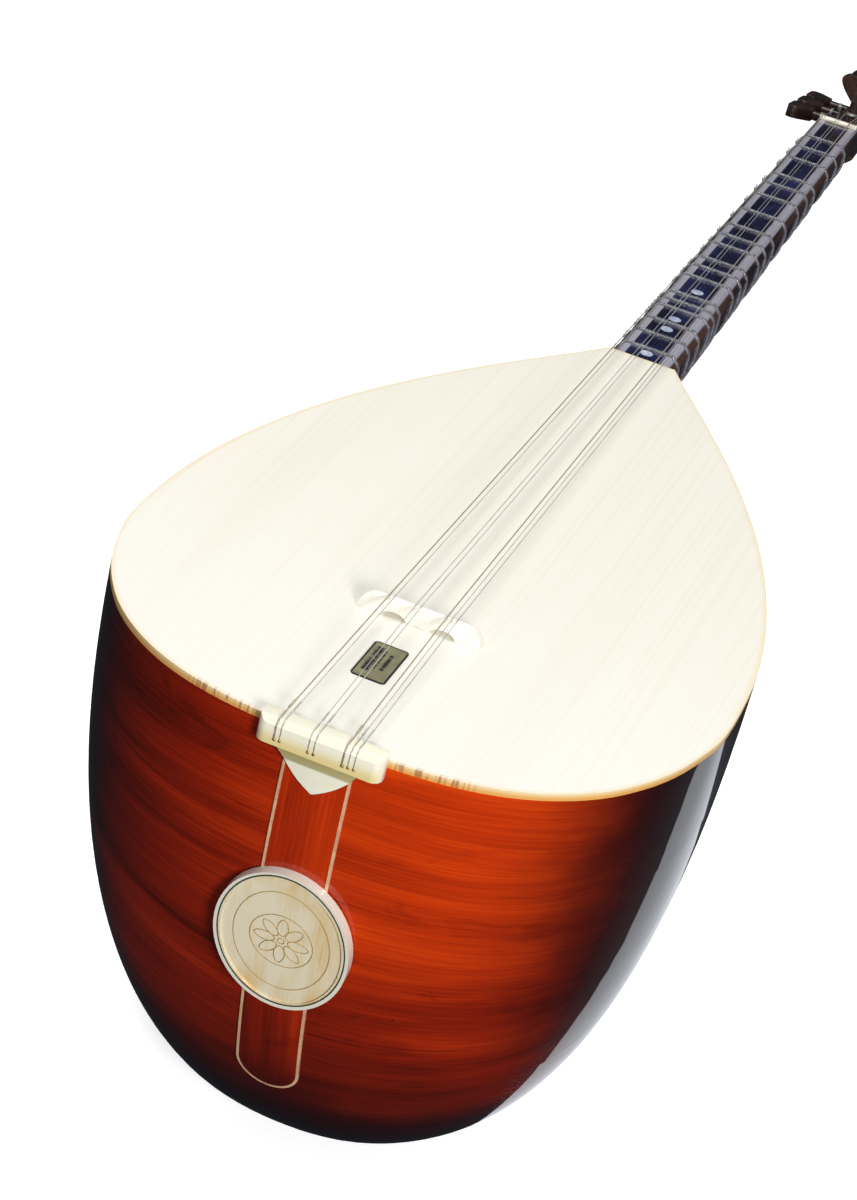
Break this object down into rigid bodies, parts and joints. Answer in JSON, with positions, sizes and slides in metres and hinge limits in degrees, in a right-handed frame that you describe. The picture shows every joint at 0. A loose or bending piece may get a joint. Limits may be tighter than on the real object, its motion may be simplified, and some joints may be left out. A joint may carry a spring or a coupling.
{
  "type": "baglama saz",
  "caption": "Short-necked lute with a deep stave-built pear bowl, flat pale soundboard, low bridge, tied sliding frets and wooden friction pegs.",
  "frame": {"origin": "lowest point of the bowl's back on the centreline, the point it lies on when it is held soundboard up", "axes": "+Y along the neck from the tail to the head, +Z out of the soundboard, +X to the right seen from in front with the head up"},
  "size_m": [0.2596, 0.9876, 0.2748],
  "materials": {
    "bowl_wood": "high gloss red-brown lacquer, burst to near black",
    "inner_wood": "bare",
    "soundboard_wood": "satin, pale spruce",
    "pale_wood": "gloss",
    "medallion_wood": "gloss, engraved",
    "medallion_rim": "gloss",
    "label_metal": "satin",
    "bone": "polished bone",
    "neck_wood": "gloss lacquer",
    "dark_wood": "polished",
    "pearl": "mother of pearl",
    "bridge_wood": "bare pale wood",
    "string_steel": "bright drawn wire",
    "fret_nylon": "clear nylon line",
    "peg_wood": "satin"
  },
  "bodies": {
    "saz": {"stave_1_left": "bowl_wood", "stave_1_right": "bowl_wood", "stave_2_left": "bowl_wood", "stave_2_right": "bowl_wood", "stave_3_left": "bowl_wood", "stave_3_right": "bowl_wood", "stave_4_left": "bowl_wood", "stave_4_right": "bowl_wood", "stave_keel": "bowl_wood", "neck_block": "inner_wood", "tail_block": "inner_wood", "soundboard_brace": "inner_wood", "soundboard": "soundboard_wood", "tail_strap": "bowl_wood", "strap_fillet": "pale_wood", "medallion_disc": "medallion_wood", "medallion_ring": "medallion_rim", "label_plate": "label_metal", "tailpiece": "bone", "tailpiece_chin": "bone", "neck": "neck_wood", "fingerboard": "dark_wood", "position_dots": "pearl", "nut": "bone", "head": "neck_wood", "string_1": "string_steel", "string_2": "string_steel", "string_3": "string_steel", "string_4": "string_steel", "string_5": "string_steel", "string_6": "string_steel", "string_7": "string_steel"},
    "peg_1": {"peg_1": "peg_wood"},
    "peg_2": {"peg_2": "peg_wood"},
    "peg_3": {"peg_3": "peg_wood"},
    "peg_4": {"peg_4": "peg_wood"},
    "peg_5": {"peg_5": "peg_wood"},
    "peg_6": {"peg_6": "peg_wood"},
    "peg_7": {"peg_7": "peg_wood"},
    "fret_01": {"fret_01": "fret_nylon"},
    "fret_02": {"fret_02": "fret_nylon"},
    "fret_03": {"fret_03": "fret_nylon"},
    "fret_04": {"fret_04": "fret_nylon"},
    "fret_05": {"fret_05": "fret_nylon"},
    "fret_06": {"fret_06": "fret_nylon"},
    "fret_07": {"fret_07": "fret_nylon"},
    "fret_08": {"fret_08": "fret_nylon"},
    "fret_09": {"fret_09": "fret_nylon"},
    "fret_10": {"fret_10": "fret_nylon"},
    "fret_11": {"fret_11": "fret_nylon"},
    "fret_12": {"fret_12": "fret_nylon"},
    "fret_13": {"fret_13": "fret_nylon"},
    "fret_14": {"fret_14": "fret_nylon"},
    "fret_15": {"fret_15": "fret_nylon"},
    "fret_16": {"fret_16": "fret_nylon"},
    "fret_17": {"fret_17": "fret_nylon"},
    "fret_18": {"fret_18": "fret_nylon"},
    "fret_19": {"fret_19": "fret_nylon"},
    "bridge": {"bridge": "bridge_wood"}
  },
  "joints": [
    {"name": "peg_1_turn", "type": "hinge", "parent": "saz", "child": "peg_1", "pos_m": [-0.0105, 0.7704, 0.23807], "axis": [-1, 0, 0], "continuous": true},
    {"name": "peg_2_turn", "type": "hinge", "parent": "saz", "child": "peg_2", "pos_m": [-0.0105, 0.79994, 0.23286], "axis": [-1, 0, 0], "continuous": true},
    {"name": "peg_3_turn", "type": "hinge", "parent": "saz", "child": "peg_3", "pos_m": [-0.0105, 0.82948, 0.22765], "axis": [-1, 0, 0], "continuous": true},
    {"name": "peg_4_turn", "type": "hinge", "parent": "saz", "child": "peg_4", "pos_m": [0.0026, 0.75667, 0.24658], "axis": [0, 0.1736, 0.9848], "continuous": true},
    {"name": "peg_5_turn", "type": "hinge", "parent": "saz", "child": "peg_5", "pos_m": [0.0034, 0.78621, 0.24137], "axis": [0, 0.1736, 0.9848], "continuous": true},
    {"name": "peg_6_turn", "type": "hinge", "parent": "saz", "child": "peg_6", "pos_m": [0.0046, 0.81575, 0.23616], "axis": [0, 0.1736, 0.9848], "continuous": true},
    {"name": "peg_7_turn", "type": "hinge", "parent": "saz", "child": "peg_7", "pos_m": [0.0052, 0.8453, 0.23095], "axis": [0, 0.1736, 0.9848], "continuous": true},
    {"name": "fret_01_slide", "type": "slide", "parent": "saz", "child": "fret_01", "axis": [0, 1, 0], "range_m": [-0.002, 0.002]},
    {"name": "fret_02_slide", "type": "slide", "parent": "saz", "child": "fret_02", "axis": [0, 1, 0], "range_m": [-0.002, 0.002]},
    {"name": "fret_03_slide", "type": "slide", "parent": "saz", "child": "fret_03", "axis": [0, 1, 0], "range_m": [-0.002, 0.002]},
    {"name": "fret_04_slide", "type": "slide", "parent": "saz", "child": "fret_04", "axis": [0, 1, 0], "range_m": [-0.002, 0.002]},
    {"name": "fret_05_slide", "type": "slide", "parent": "saz", "child": "fret_05", "axis": [0, 1, 0], "range_m": [-0.002, 0.002]},
    {"name": "fret_06_slide", "type": "slide", "parent": "saz", "child": "fret_06", "axis": [0, 1, 0], "range_m": [-0.002, 0.002]},
    {"name": "fret_07_slide", "type": "slide", "parent": "saz", "child": "fret_07", "axis": [0, 1, 0], "range_m": [-0.002, 0.002]},
    {"name": "fret_08_slide", "type": "slide", "parent": "saz", "child": "fret_08", "axis": [0, 1, 0], "range_m": [-0.002, 0.002]},
    {"name": "fret_09_slide", "type": "slide", "parent": "saz", "child": "fret_09", "axis": [0, 1, 0], "range_m": [-0.002, 0.002]},
    {"name": "fret_10_slide", "type": "slide", "parent": "saz", "child": "fret_10", "axis": [0, 1, 0], "range_m": [-0.002, 0.002]},
    {"name": "fret_11_slide", "type": "slide", "parent": "saz", "child": "fret_11", "axis": [0, 1, 0], "range_m": [-0.002, 0.002]},
    {"name": "fret_12_slide", "type": "slide", "parent": "saz", "child": "fret_12", "axis": [0, 1, 0], "range_m": [-0.002, 0.002]},
    {"name": "fret_13_slide", "type": "slide", "parent": "saz", "child": "fret_13", "axis": [0, 1, 0], "range_m": [-0.002, 0.002]},
    {"name": "fret_14_slide", "type": "slide", "parent": "saz", "child": "fret_14", "axis": [0, 1, 0], "range_m": [-0.002, 0.002]},
    {"name": "fret_15_slide", "type": "slide", "parent": "saz", "child": "fret_15", "axis": [0, 1, 0], "range_m": [-0.002, 0.002]},
    {"name": "fret_16_slide", "type": "slide", "parent": "saz", "child": "fret_16", "axis": [0, 1, 0], "range_m": [-0.002, 0.002]},
    {"name": "fret_17_slide", "type": "slide", "parent": "saz", "child": "fret_17", "axis": [0, 1, 0], "range_m": [-0.002, 0.002]},
    {"name": "fret_18_slide", "type": "slide", "parent": "saz", "child": "fret_18", "axis": [0, 1, 0], "range_m": [-0.002, 0.002]},
    {"name": "fret_19_slide", "type": "slide", "parent": "saz", "child": "fret_19", "axis": [0, 1, 0], "range_m": [-0.002, 0.002]},
    {"name": "bridge_slide", "type": "slide", "parent": "saz", "child": "bridge", "axis": [0, 1, 0], "range_m": [-0.003, 0.003]}
  ]
}
